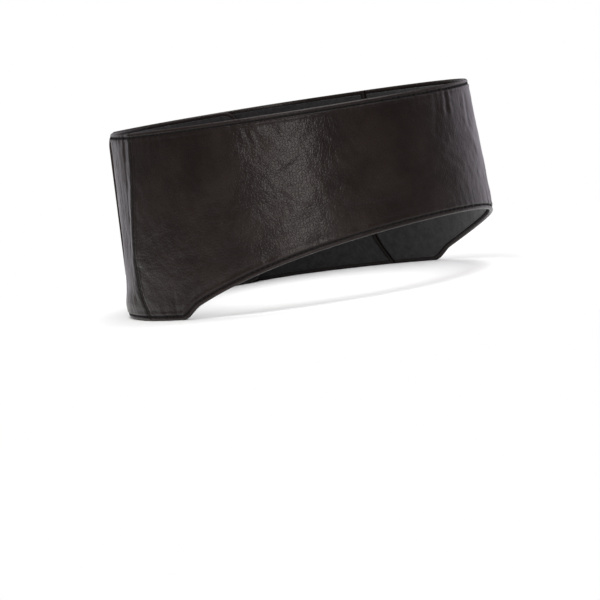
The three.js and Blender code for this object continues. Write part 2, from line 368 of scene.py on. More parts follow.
def seam_corner(name, near, z):
    """How far the leather stands out beside the seams, where the band turns more sharply."""
    if name == "main_panel":
        return SEAM_CORNER * (1 - smooth(near, -6.0, 26.0)) / 0.91
    under = SEAM_CORNER - SEAM_STEP
    upper = under + 0.54 - 2.1 * smooth(near, -6.0, 12.0) - 0.5 * smooth(near, 4.0, 30.0)
    hump = np.exp(-(((z - 6.5) / 7.0) ** 2))
    lower = under * (1 - smooth(near, 0.0, 30.0)) + 2.0 * hump * smooth(near, -8.0, 28.0)
    return (lower + (upper - lower) * smooth(z, 16.0, 42.0)) * (1 - smooth(near, 26.0, 75.0))


def seam_relief(name, near, z, settings):
    """The stitching and the short folds beside the seams."""
    if name == "main_panel":
        return 0.8 * stitched(near, z, settings.stitch_pitch / MM) - 0.2 * (1 - smooth(near, 0.0, 0.8))
    folds = waves(near, 0.1 * z, 5, 7.0, fan=0.4) * smooth(near, 1.0, 8.0)
    return 0.03 * folds * (1 - smooth(near, 30.0, 70.0))


# ---- Cloth simulation ----

SETTLED = {}

CLOTH_STEP = 2.0
CLOTH_FRAMES = 24
CLOTH_SPARE = 0.006  # how much longer the leather is than the stitching that holds it
CLOTH_GATHER = 9.0  # the spare leather lies within this distance of the stitching
CLOTH_LIMITS = (0.15, 0.7)  # how far the leather may move in and out


def spline(x):
    """Weight of a grid value at distance x, in grid steps."""
    x = np.abs(x)
    return np.where(x < 1, 2 / 3 - x * x + x**3 / 2, np.maximum(2 - x, 0.0) ** 3 / 6)


class Settled:
    """How one leather panel lies after its cloth simulation, in millimetres out from the plain surface."""

    def __init__(self, pattern, seed):
        self.area = pattern.inset(STITCH_INSET)
        self.columns = int(abs(self.area.end - self.area.start) / CLOTH_STEP)
        self.rows = int((HEIGHT - 2 * STITCH_INSET) / CLOTH_STEP)
        self.height = np.zeros((self.columns + 1, self.rows + 1))
        self.simulate(pattern, seed)

    def simulate(self, pattern, seed):
        s_line = np.linspace(self.area.start, self.area.end, self.columns + 1)
        part = np.linspace(0.0, 1.0, self.rows + 1)[None, :]
        s = np.repeat(s_line[:, None], self.rows + 1, axis=1)
        z = self.area.low(s) * (1 - part) + self.area.high(s) * part
        plain = on_band(s, z, 0.0, pattern.climbs).reshape(-1, 3)
        out = on_band(s, z, -1.0, pattern.climbs).reshape(-1, 3) - plain
        held = np.zeros(s.shape, dtype=bool)
        held[[0, -1], :] = True
        held[:, [0, -1]] = True
        if pattern is RIGHT:
            held |= s > LOOP.start
        elif pattern is LEFT:
            held |= (s < HOOK.start) & (np.abs(z - HEIGHT / 2) < PATCH_HEIGHT / 2)
        taut = np.clip(self.area.to_edge(s, z) / CLOTH_GATHER, 0.0, 1.0)
        uneven = 0.03 * waves(s, z, seed, 30.0) * ~held
        sheet = self.sheet(plain + out * uneven.reshape(-1, 1), held, taut, pattern.turn > 0)
        moved = self.run(sheet) - plain
        height = (moved * out).sum(axis=1) / (out * out).sum(axis=1)
        height = height.reshape(s.shape)
        limit = np.where(height < 0, *CLOTH_LIMITS)
        self.height = limit * np.tanh(height / limit)

    def sheet(self, points, held, taut, turn):
        number = np.arange(held.size).reshape(held.shape)
        a, b, c, d = number[:-1, :-1], number[:-1, 1:], number[1:, 1:], number[1:, :-1]
        corners = (a, b, c, d) if turn else (a, d, c, b)
        faces = np.stack([x.ravel() for x in corners], axis=1).tolist()
        mesh = bpy.data.meshes.new("cloth")
        mesh.from_pydata(points, [], faces)
        made = bpy.data.objects.new("cloth", mesh)
        bpy.context.scene.collection.objects.link(made)
        pinned = made.vertex_groups.new(name="held")
        pinned.add(np.flatnonzero(held.ravel()).tolist(), 1.0, "REPLACE")
        smoothed = made.vertex_groups.new(name="taut")
        for place, weight in enumerate(taut.ravel()):
            smoothed.add([place], float(weight), "REPLACE")
        return made

    def run(self, sheet):
        """Steps the simulation and returns where the points of the sheet end."""
        modifier = sheet.modifiers.new("settle", "CLOTH")
        cloth = modifier.settings
        cloth.quality = 6
        cloth.mass = 0.2
        cloth.air_damping = 4.0
        cloth.tension_stiffness = cloth.compression_stiffness = 60.0
        cloth.shear_stiffness = 25.0
        cloth.bending_stiffness = 2.0
        cloth.vertex_group_mass = "held"
        cloth.vertex_group_shrink = "taut"
        cloth.shrink_max, cloth.shrink_min = 0.0, -CLOTH_SPARE
        cloth.use_pressure = True
        cloth.uniform_pressure_force = 2.0
        cloth.effector_weights.gravity = 0.0
        modifier.collision_settings.use_collision = False
        modifier.point_cache.frame_start, modifier.point_cache.frame_end = 1, CLOTH_FRAMES
        scene = bpy.context.scene
        for number in range(1, CLOTH_FRAMES + 1):
            scene.frame_set(number)
        ready = sheet.evaluated_get(bpy.context.evaluated_depsgraph_get())
        points = np.empty(3 * len(ready.data.vertices))
        ready.data.vertices.foreach_get("co", points)
        bpy.data.objects.remove(sheet, do_unlink=True)
        scene.frame_set(1)
        return points.reshape(-1, 3)

    def at(self, s, z):
        """The settled height at s and z."""
        u = (s - self.area.start) / (self.area.end - self.area.start) * self.columns
        low, high = self.area.low(s), self.area.high(s)
        v = (z - low) / (high - low) * self.rows
        first_u, first_v = np.floor(u).astype(int), np.floor(v).astype(int)
        total = np.zeros(np.broadcast(s, z).shape)
        for i in range(-1, 3):
            for j in range(-1, 3):
                column = np.clip(first_u + i, 0, self.columns)
                row = np.clip(first_v + j, 0, self.rows)
                weight = spline(u - first_u - i) * spline(v - first_v - j)
                total += weight * self.height[column, row]
        return total


def outside(name, s, z, settings):
    """How far a panel's outside stands out, how much of that is the corner at its seam, and the way to it."""
    pattern, _, seed = PANELS[name]
    near = pattern.turn * (s - pattern.start)
    if name == "main_panel":
        near = np.minimum(near, pattern.turn * (pattern.end - s))
    corner = seam_corner(name, near, z)
    lie = lie_of_leather(pattern, s, z, seed, settings) + corner + seam_relief(name, near, z, settings)
    if name in SETTLED:
        lie = lie + settings.cloth_share * SETTLED[name].at(s, z)
    for start, end, width, height in FOLDS if name == "main_panel" else ():
        lie = lie + fold(s, z, start, end, width, height)
    return lie, corner, near


# ---- Meshes ----


def new_piece(name, points, faces, flat, material, attributes=()):
    mesh = bpy.data.meshes.new(name)
    mesh.from_pydata(points, [], faces)
    uv = mesh.uv_layers.new(name="Flat")
    corner = np.empty(len(mesh.loops), dtype=np.int32)
    mesh.loops.foreach_get("vertex_index", corner)
    uv.data.foreach_set("uv", (flat[corner] * MM).astype(np.float32).ravel())
    for label, values in attributes:
        layer = mesh.attributes.new(label, "FLOAT", "POINT")
        layer.data.foreach_set("value", np.asarray(values, np.float32))
    mesh.polygons.foreach_set("use_smooth", np.ones(len(mesh.polygons), dtype=bool))
    mesh.materials.append(material)
    mesh.update()
    made = bpy.data.objects.new(name, mesh)
    bpy.context.scene.collection.objects.link(made)
    return made


def near_edge_rows(bevel, fine):
    """Distances from an edge, crowded over the rounding and over the stitching."""
    turn = bevel * (1 - np.cos(np.linspace(0.0, np.pi / 2, 6)))
    if not fine:
        return turn
    return np.concatenate([turn, [1.2, 1.45, 1.7, 1.95, 2.2, 2.5, 2.85, 3.2, 3.6, 4.1, 4.7, 5.4, 6.3, 7.3]])


def closed_sheet(name, pattern, step, rise, bevel, depths, material, fine=False):
    """A closed sheet over a pattern with rounded edges.

    depths(s, z) gives the depths of the two sides and the attributes of the outside.
    """
    s_line = pattern.columns(step, bevel)
    z = pattern.heights(s_line, near_edge_rows(bevel, fine), rise)
    s = np.repeat(s_line[:, None], z.shape[1], axis=1)
    outer, inner, extra = depths(s, z)
    edge = pattern.to_edge(s, z)
    short = np.clip(1 - edge / bevel, 0.0, 1.0)
    half = (inner - outer) / 2
    turned = half * (1 - np.sqrt(np.maximum(1 - short**2, 0.0)))
    columns, rows = z.shape
    border = np.zeros(z.shape, dtype=bool)
    border[[0, -1], :] = True
    border[:, [0, -1]] = True
    turned[border] = half[border]
    front = on_band(s, z, outer + turned, pattern.climbs).reshape(-1, 3)
    back = on_band(s, z, inner - turned, pattern.climbs).reshape(-1, 3)
    number = np.arange(columns * rows).reshape(columns, rows)
    inside = ~border
    behind = number.copy()
    behind[inside] = columns * rows + np.arange(inside.sum())
    points = np.concatenate([front, back[inside.ravel()]])
    flat = np.stack([s.ravel(), z.ravel()], axis=1)
    flat = np.concatenate([flat, flat[inside.ravel()]])

    def quads(grid, order):
        a, b, c, d = grid[:-1, :-1], grid[:-1, 1:], grid[1:, 1:], grid[1:, :-1]
        corners = (a, b, c, d) if order else (a, d, c, b)
        return np.stack([x.ravel() for x in corners], axis=1)

    faces_out = pattern.turn > 0
    faces = np.concatenate([quads(number, faces_out), quads(behind, not faces_out)])
    attributes = []
    for label, values in extra.items():
        flat_values = values.ravel()
        attributes.append((label, np.concatenate([flat_values, flat_values[inside.ravel()]])))
    return new_piece(name, points, faces.tolist(), flat, material, attributes)


# ---- Materials ----


class Value:
    """One output of a node. Arithmetic on it adds Math nodes."""

    def __init__(self, nodes, socket):
        self.nodes, self.socket = nodes, socket

    def _math(self, operation, first, second):
        return self.nodes.add("ShaderNodeMath", {"operation": operation}, {0: first, 1: second})

    def __add__(self, other):
        return self._math("ADD", self, other)

    def __sub__(self, other):
        return self._math("SUBTRACT", self, other)

    def __rsub__(self, other):
        return self._math("SUBTRACT", other, self)

    def __mul__(self, other):
        return self._math("MULTIPLY", self, other)

    __radd__ = __add__
    __rmul__ = __mul__


class Nodes:
    """A node tree that is written down one node at a time."""

    def __init__(self, tree):
        self.tree = tree

    def add(self, kind, settings=None, sockets=None, output=0):
        """Adds a node, sets it up, then fills its sockets with values or links. Returns one output."""
        node = self.tree.nodes.new(kind)
        for name, value in (settings or {}).items():
            setattr(node, name, value)
        for key, value in (sockets or {}).items():
            if isinstance(value, Value):
                self.tree.links.new(value.socket, node.inputs[key])
            else:
                node.inputs[key].default_value = value
        return Value(self, node.outputs[output]) if node.outputs else None

    def noise(self, place, size, detail=2.0, roughness=0.5, output=0):
        sockets = {"Vector": place, "Scale": 1 / size, "Detail": detail, "Roughness": roughness}
        return self.add("ShaderNodeTexNoise", {}, sockets, output)

    def blend(self, share, first, second):
        """A colour between two colours."""
        sockets = {0: share, 6: first, 7: second}
        return self.add("ShaderNodeMix", {"data_type": "RGBA"}, sockets, 2)

    def limit(self, value, low, high, new_low=0.0, new_high=1.0):
        sockets = {0: value, 1: low, 2: high, 3: new_low, 4: new_high}
        return self.add("ShaderNodeMapRange", {"interpolation_type": "SMOOTHSTEP"}, sockets)


def shade(colour, factor=1.0):
    return (colour[0] * factor, colour[1] * factor, colour[2] * factor, 1.0)


def new_material(name, build):
    """A material whose Principled BSDF takes the sockets that build(nodes) returns."""
    made = bpy.data.materials.new(name)
    made.use_nodes = True
    made.node_tree.nodes.clear()
    nodes = Nodes(made.node_tree)
    shader = nodes.add("ShaderNodeBsdfPrincipled", {}, build(nodes))
    nodes.add("ShaderNodeOutputMaterial", {}, {"Surface": shader})
    return made


def leather_material(settings):
    colour = settings.leather_colour

    def build(nodes):
        flat = nodes.add("ShaderNodeUVMap", {"uv_map": "Flat"})
        lie = nodes.add("ShaderNodeAttribute", {"attribute_name": "lie"}, {}, 2)
        drift = nodes.noise(flat, 0.0016, 2.0)
        bent = nodes.add(
            "ShaderNodeVectorMath",
            {"operation": "MULTIPLY_ADD"},
            {0: nodes.noise(flat, 0.0022, 2.0, output=1), 1: (0.0008, 0.0008, 0.0), 2: flat},
        )
        pebble = nodes.add(
            "ShaderNodeTexVoronoi",
            {"voronoi_dimensions": "2D", "feature": "DISTANCE_TO_EDGE"},
            {"Vector": bent, "Scale": 1 / 0.0015},
        )
        pore = nodes.limit(pebble, 0.0, 0.22)
        cloud = nodes.noise(flat, 0.022, 4.0, 0.55)
        patchy = nodes.noise(flat, 0.006, 4.0, 0.6)
        tone = nodes.limit(cloud, 0.35, 0.68)
        worn = nodes.limit(lie, 0.0, 1.0)
        groove = nodes.add("ShaderNodeAttribute", {"attribute_name": "groove"}, {}, 2)
        base = nodes.blend(tone, shade(colour, 0.78), shade(colour, 1.22))
        base = nodes.blend(worn * 0.35, base, shade(settings.worn_colour))
        base = nodes.blend((1 - pore) * 0.35, base, shade(colour, 0.45))
        # painted shade: along the seams and the stitching furrow the base colour is mixed almost to black,
        # standing in for the shade in these grooves; the same mask also makes them rougher
        base = nodes.blend(groove * 0.95, base, shade(colour, 0.08))
        rough = 0.26 + 0.10 * patchy + 0.05 * tone - 0.03 * worn + 0.5 * groove
        height = pore * 0.55 + drift * 0.25 + nodes.noise(flat, 0.0005, 2.0) * 0.2
        crinkle = nodes.noise(flat, 0.0038, 3.0, 0.55)
        grain = nodes.add(
            "ShaderNodeBump",
            {},
            {"Strength": 0.6, "Distance": 0.00011, "Height": height},
        )
        crinkle = nodes.add(
            "ShaderNodeBump",
            {},
            {"Strength": 0.5, "Distance": 0.0005, "Height": crinkle, "Normal": grain},
        )
        return {"Base Color": base, "Roughness": rough, "Normal": crinkle, "Specular IOR Level": 0.17}

    return new_material("black_leather", build)


def lining_material(settings):
    colour = settings.lining_colour

    def build(nodes):
        flat = nodes.add("ShaderNodeUVMap", {"uv_map": "Flat"})
        fuzz = nodes.noise(flat, 0.0006, 4.0, 0.7)
        tuft = nodes.noise(flat, 0.0028, 3.0, 0.6)
        base = nodes.blend(nodes.limit(tuft, 0.3, 0.7), shade(colour, 0.7), shade(colour, 1.4))
        base = nodes.blend(nodes.limit(fuzz, 0.45, 0.75) * 0.4, base, shade(colour, 2.2))
        bump = nodes.add(
            "ShaderNodeBump",
            {},
            {"Strength": 0.9, "Distance": 0.0004, "Height": fuzz * 0.5 + tuft * 0.5},
        )
        return {
            "Base Color": base,
            "Roughness": 0.95,
            "Normal": bump,
            "Specular IOR Level": 0.15,
            "Sheen Weight": 0.25,
        }

    return new_material("charcoal_fleece", build)


def thread_material(settings):
    colour = settings.thread_colour

    def build(nodes):
        place = nodes.add("ShaderNodeTexCoord", {}, {}, "Object")
        twist = nodes.add(
            "ShaderNodeTexWave",
            {"bands_direction": "DIAGONAL"},
            {"Vector": place, "Scale": 900.0, "Distortion": 1.0},
        )
        base = nodes.blend(twist, shade(colour, 0.6), shade(colour, 1.6))
        bump = nodes.add("ShaderNodeBump", {}, {"Strength": 0.5, "Distance": 0.00008, "Height": twist})
        return {"Base Color": base, "Roughness": 0.7, "Normal": bump, "Specular IOR Level": 0.2}

    return new_material("waxed_thread", build)


def tape_material(name, colour, roughness):
    def build(nodes):
        flat = nodes.add("ShaderNodeTexCoord", {}, {}, "Object")
        speck = nodes.noise(flat, 0.0009, 3.0, 0.6)
        base = nodes.blend(nodes.limit(speck, 0.35, 0.7), shade(colour, 0.7), shade(colour, 1.5))
        bump = nodes.add("ShaderNodeBump", {}, {"Strength": 0.6, "Distance": 0.0002, "Height": speck})
        return {"Base Color": base, "Roughness": roughness, "Normal": bump}

    return new_material(name, build)


def wadding_material():
    def build(nodes):
        place = nodes.add("ShaderNodeTexCoord", {}, {}, "Object")
        fibre = nodes.noise(place, 0.0012, 5.0, 0.7)
        base = nodes.blend(fibre, (0.42, 0.40, 0.36, 1.0), (0.66, 0.64, 0.60, 1.0))
        bump = nodes.add("ShaderNodeBump", {}, {"Strength": 0.8, "Distance": 0.0005, "Height": fibre})
        return {"Base Color": base, "Roughness": 0.95, "Normal": bump}

    return new_material("wadding", build)


# ---- Geometry Nodes ----


class Grower:
    """A Geometry Nodes tree that turns a path or a set of points into a plain mesh."""

    def __init__(self, name):
        self.tree = bpy.data.node_groups.new(name, "GeometryNodeTree")
        self.nodes = Nodes(self.tree)
        self.tree.interface.new_socket("Geometry", in_out="OUTPUT", socket_type="NodeSocketGeometry")
        self.tree.interface.new_socket("Geometry", in_out="INPUT", socket_type="NodeSocketGeometry")
        self.source = None

    def input(self, name, kind, default=None):
        socket = self.tree.interface.new_socket(name, in_out="INPUT", socket_type=kind)
        if default is not None:
            socket.default_value = default

    def start(self):
        self.source = self.tree.nodes.new("NodeGroupInput")

    def value(self, name):
        return Value(self.nodes, self.source.outputs[name])

    def end(self, geometry):
        """Realizes the instances, smooths them and gives them their material."""
        real = self.nodes.add("GeometryNodeRealizeInstances", {}, {"Geometry": geometry})
        even = self.nodes.add("GeometryNodeSetShadeSmooth", {}, {"Geometry": real})
        done = self.nodes.add(
            "GeometryNodeSetMaterial",
            {},
            {"Geometry": even, "Material": self.value("Material")},
        )
        self.nodes.add("NodeGroupOutput", {}, {"Geometry": done})

    def grow(self, name, source, values):
        """Runs the tree on an object that is then removed, and returns the result as a new piece."""
        modifier = source.modifiers.new("grow", "NODES")
        modifier.node_group = self.tree
        for item in self.tree.interface.items_tree:
            if item.in_out == "INPUT" and item.name in values:
                modifier[item.identifier] = values[item.name]
        bpy.context.view_layer.update()
        ready = source.evaluated_get(bpy.context.evaluated_depsgraph_get())
        mesh = bpy.data.meshes.new_from_object(ready)
        mesh.name = name
        bpy.data.objects.remove(source, do_unlink=True)
        made = bpy.data.objects.new(name, mesh)
        bpy.context.scene.collection.objects.link(made)
        return made


def stitch_grower():
    """Stitches laid end to end along a path, each one a slim bead that leans a little."""
    tree = Grower("stitch_row")
    tree.input("Pitch", "NodeSocketFloat", 0.0028)
    tree.input("Length", "NodeSocketFloat", 0.0023)
    tree.input("Thickness", "NodeSocketFloat", 0.0005)
    tree.input("Seed", "NodeSocketInt", 1)
    tree.input("Material", "NodeSocketMaterial")
    tree.start()
    nodes = tree.nodes
    path = nodes.add(
        "GeometryNodeResampleCurve",
        {"mode": "LENGTH"},
        {"Curve": tree.value("Geometry"), "Length": tree.value("Pitch")},
    )
    bead = nodes.add("GeometryNodeMeshUVSphere", {}, {"Segments": 8, "Rings": 7, "Radius": 0.5})
    size = nodes.add(
        "ShaderNodeCombineXYZ",
        {},
        {"X": tree.value("Thickness"), "Y": tree.value("Thickness"), "Z": tree.value("Length")},
    )
    tangent = nodes.add("GeometryNodeInputTangent")
    rng = {"data_type": "FLOAT_VECTOR"}
    spread = nodes.add(
        "FunctionNodeRandomValue",
        rng,
        {0: (-0.07, -0.07, -0.07), 1: (0.07, 0.07, 0.07), "Seed": tree.value("Seed")},
    )
    aim = nodes.add("ShaderNodeVectorMath", {"operation": "ADD"}, {0: tangent, 1: spread})
    turn = nodes.add("FunctionNodeAlignEulerToVector", {"axis": "Z"}, {"Vector": aim})
    rows = nodes.add(
        "GeometryNodeInstanceOnPoints",
        {},
        {"Points": path, "Instance": bead, "Rotation": turn, "Scale": size},
    )
    tree.end(rows)
    return tree


def pile_grower(name, make_tip):
    """One small tip on each point of a grid, standing along the grid's normals."""
    tree = Grower(name)
    tree.input("Height", "NodeSocketFloat", 0.0004)
    tree.input("Seed", "NodeSocketInt", 1)
    tree.input("Material", "NodeSocketMaterial")
    tree.start()
    nodes = tree.nodes
    tip = make_tip(nodes)
    up = nodes.add("GeometryNodeInputNormal")
    turn = nodes.add("FunctionNodeAlignEulerToVector", {"axis": "Z"}, {"Vector": up})
    low, high = (-0.25, -0.25, -0.6), (0.25, 0.25, 0.6)
    spread = nodes.add(
        "FunctionNodeRandomValue",
        {"data_type": "FLOAT_VECTOR"},
        {0: low, 1: high, "Seed": tree.value("Seed")},
    )
    lean = nodes.add(
        "FunctionNodeRotateEuler",
        {"space": "LOCAL"},
        {"Rotation": turn, "Rotate By": spread},
    )
    grown = nodes.add(
        "GeometryNodeInstanceOnPoints",
        {},
        {
            "Points": tree.value("Geometry"),
            "Instance": tip,
            "Rotation": lean,
            "Scale": tree.value("Height"),
        },
    )
    tree.end(grown)
    return tree


def hook_tip(nodes):
    """A stem that bends over into a hook, one unit high."""
    spine = nodes.add(
        "GeometryNodeCurvePrimitiveBezierSegment",
        {},
        {
            "Resolution": 6,
            "Start": (0.0, 0.0, 0.0),
            "Start Handle": (0.0, 0.0, 1.1),
            "End Handle": (0.45, 0.0, 1.25),
            "End": (0.55, 0.0, 0.55),
        },
    )
    section = nodes.add(
        "GeometryNodeCurvePrimitiveCircle", {"mode": "RADIUS"}, {"Resolution": 5, "Radius": 0.13}
    )
    sockets = {"Curve": spine, "Profile Curve": section, "Fill Caps": True}
    return nodes.add("GeometryNodeCurveToMesh", {}, sockets)


def loop_tip(nodes):
    """A loop of yarn that stands on both its feet, one unit high."""
    spine = nodes.add(
        "GeometryNodeCurvePrimitiveBezierSegment",
        {},
        {
            "Resolution": 8,
            "Start": (-0.35, 0.0, 0.0),
            "Start Handle": (-0.8, 0.1, 1.3),
            "End Handle": (0.8, -0.1, 1.3),
            "End": (0.35, 0.0, 0.0),
        },
    )
    section = nodes.add(
        "GeometryNodeCurvePrimitiveCircle", {"mode": "RADIUS"}, {"Resolution": 4, "Radius": 0.1}
    )
    sockets = {"Curve": spine, "Profile Curve": section, "Fill Caps": True}
    return nodes.add("GeometryNodeCurveToMesh", {}, sockets)


# ---- Pieces ----


def bend_ends(side):
    """Where the bend behind one seam starts and ends, in metres. side is 1 on the wearer's right."""
    z = HEIGHT / 2
    return [tuple(on_band(side * s, z)) for s in (BEND_START, BEND_END)]


def go_with(piece, body):
    """A piece on the band goes with the band's body. A piece on a back panel only has its place baked into
    its mesh; it is not bent.
    """
    if body == "band":
        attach(piece, "band")
        return
    side = 1 if body == "right_back" else -1
    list(bend_ends(side))
    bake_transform(piece)


def cut_size(pattern, seam_allowance):
    """The size a panel was cut to, edges unturned, and its area."""
    length = abs(pattern.end - pattern.start) + 2 * seam_allowance
    height = HEIGHT + 2 * seam_allowance - 2 * pattern.margin
    s = np.linspace(pattern.start, pattern.end, 400)
    tall = pattern.high(s) - pattern.low(s) - 2 * pattern.corner_cut(s)
    area = (tall.mean() + 2 * seam_allowance) * length
    return (length * MM, height * MM), area * MM * MM


def make_panel(name, material, settings):
    pattern, body, _ = PANELS[name]

    def depths(s, z):
        lie, corner, near = outside(name, s, z, settings)
        edge = pattern.to_edge(s, z)
        window = smooth(edge, HEM - 0.4, HEM + 0.4)
        inner = HEM_DEPTH * (1 - window) + (LEATHER - lie) * window
        crest = np.clip((lie - corner) / 0.8, -1, 1) + 0.8 * np.exp(-((edge / 0.9) ** 2))
        # This mask is 1 at the seams and along the stitching furrow, where painted shade darkens the
        # leather's colour
        groove = np.exp(-((near / 0.75) ** 2)) + np.exp(-(((edge - STITCH_INSET) / 0.42) ** 2))
        return -lie, inner, {"lie": crest, "groove": np.clip(groove, 0.0, 1.0)}

    piece = closed_sheet(name + "_leather", pattern, 0.7, 1.25, HEM_DEPTH / 2, depths, material, fine=True)
    go_with(piece, body)
    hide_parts(name)
    flat, area = cut_size(pattern, HEM)


def make_linings(material):
    pieces = {
        "main_lining": (MAIN, "band", LINING_DEPTH, LINING, 71),
        "right_back_lining": (RIGHT, "right_back", TAIL_LINING_DEPTH, TAIL_LINING, 81),
        "left_back_lining": (LEFT, "left_back", TAIL_LINING_DEPTH, TAIL_LINING, 91),
    }
    for name, (whole, body, depth, thickness, seed) in pieces.items():
        pattern = whole.inset(LINING_INSET)

        def depths(s, z, seed=seed, depth=depth, thickness=thickness):
            soft = 0.06 * waves(s, z, seed, 14.0) + 0.04 * waves(s, z, seed + 1, 5.0)
            return depth + 0 * s, depth + thickness + soft, {}

        piece = closed_sheet(name + "_fleece", pattern, 1.6, 1.6, thickness / 2, depths, material)
        go_with(piece, body)
        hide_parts(name)
        flat, area = cut_size(pattern, 0.0)


def make_padding(material, settings):
    pattern = MAIN.inset(HEM + 2 * LEATHER)

    def depths(s, z):
        lie = np.maximum(outside("main_panel", s, z, settings)[0], 0.0)
        return PADDING_DEPTH - lie, PADDING_DEPTH + PADDING + 0 * s, {}

    piece = closed_sheet("main_padding_wadding", pattern, 2.0, 2.0, PADDING / 2, depths, material)
    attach(piece, "band")
    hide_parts("main_padding")


def path_object(name, points):
    curve = bpy.data.curves.new(name, "CURVE")
    curve.dimensions = "3D"
    line = curve.splines.new("POLY")
    line.points.add(len(points) - 1)
    line.points.foreach_set("co", np.c_[points, np.ones(len(points))].ravel())
    made = bpy.data.objects.new(name, curve)
    bpy.context.scene.collection.objects.link(made)
    return made


def along(start, end, count=160):
    return np.linspace(start, end, count)


def round_end(pattern):
    """s and z of a row of stitching along the top of a back panel, round its free end and back."""
    turn = pattern.turn
    radius = TAIL_CORNER - STITCH_INSET
    end = pattern.end - turn * STITCH_INSET
    first = pattern.start + turn * 0.8
    low, high = STITCH_INSET, HEIGHT - STITCH_INSET
    angle = np.linspace(np.pi / 2, 0.0, 12)
    corner_s, corner_z = end - turn * radius * (1 - np.cos(angle)), radius * (1 - np.sin(angle))
    top = along(first, end - turn * radius), high + 0 * along(0, 1)
    side = end + 0 * along(0, 1), along(high - radius, low + radius)
    s = np.concatenate([top[0], corner_s, side[0], corner_s[::-1], top[0][::-1]])
    z = np.concatenate([top[1], high - corner_z, side[1], low + corner_z[::-1], low + 0 * top[0]])
    return s, z


def patch_round(pattern):
    near = pattern.start + pattern.turn * PATCH_STITCH
    far = pattern.end - pattern.turn * PATCH_STITCH
    low = (HEIGHT - PATCH_HEIGHT) / 2 + PATCH_STITCH
    high = HEIGHT - low
    s = np.concatenate([along(near, far), far + 0 * along(0, 1), along(far, near), near + 0 * along(0, 1)])
    level = 0 * along(0, 1)
    z = np.concatenate([low + level, along(low, high), high + level, along(high, low + 2)])
    return s, z


def make_stitching(material, settings):
    edge = along(MAIN.start + 1, MAIN.end - 1, 600)
    up = along(STITCH_INSET + 2.0, HEIGHT - STITCH_INSET - 2.0)
    rows = {
        "top_edge": (edge, HEIGHT - STITCH_INSET + 0 * edge, "main_panel"),
        "bottom_edge": (edge, lower_edge(edge) + STITCH_INSET, "main_panel"),
        "right_seam": (MAIN.end - STITCH_INSET + 0 * up, up, "main_panel"),
        "left_seam": (MAIN.start + STITCH_INSET + 0 * up, up, "main_panel"),
        "right_back_edge": (*round_end(RIGHT), "right_back_panel"),
        "left_back_edge": (*round_end(LEFT), "left_back_panel"),
        "loop_patch": (*patch_round(LOOP), "right_back_panel"),
        "hook_patch": (*patch_round(HOOK), "left_back_panel"),
    }
    tree = stitch_grower()
    for seed, (name, (s, z, panel)) in enumerate(rows.items()):
        pattern, body, _ = PANELS[panel]
        depth = -(outside(panel, s, z, settings)[0] + THREAD_STANDS)
        if name == "loop_patch":
            depth = TAIL_DEPTH + 0.05
        path = path_object(name, on_band(s, z, depth, pattern.climbs))
        values = {
            "Pitch": settings.stitch_pitch,
            "Length": settings.stitch_length,
            "Thickness": settings.thread_thickness,
            "Seed": seed,
            "Material": material,
        }
        piece = tree.grow(name + "_stitches", path, values)
        go_with(piece, body)
        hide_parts(name + "_thread")


def point_grid(name, pattern, depth, pitch, flip, seed):
    """A loose grid of points over a patch, whose normals point away from the band or into it."""
    area = pattern.inset(1.2)
    rng = np.random.default_rng(seed)
    s_line = np.arange(min(area.start, area.end), max(area.start, area.end), pitch)
    z_line = np.arange(area.low(0.0), area.high(0.0), pitch)
    s, z = np.meshgrid(s_line, z_line, indexing="ij")
    s = s + rng.uniform(-0.25, 0.25, s.shape) * pitch
    z = z + rng.uniform(-0.25, 0.25, z.shape) * pitch
    points = on_band(s, z, depth, pattern.climbs).reshape(-1, 3)
    number = np.arange(s.size).reshape(s.shape)
    a, b, c, d = number[:-1, :-1], number[:-1, 1:], number[1:, 1:], number[1:, :-1]
    corners = (a, d, c, b) if flip else (a, b, c, d)
    faces = np.stack([x.ravel() for x in corners], axis=1).tolist()
    mesh = bpy.data.meshes.new(name)
    mesh.from_pydata(points, [], faces)
    made = bpy.data.objects.new(name, mesh)
    bpy.context.scene.collection.objects.link(made)
    return made


def make_tape(name, pattern, body, depth, thickness, material):
    def depths(s, z):
        return depth + 0 * s, depth + thickness + 0 * s, {}

    piece = closed_sheet(name, pattern, 1.5, 1.5, thickness / 2, depths, material)
    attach(piece, body)
    lengths = abs(pattern.end - pattern.start) * MM, PATCH_HEIGHT * MM
    return piece


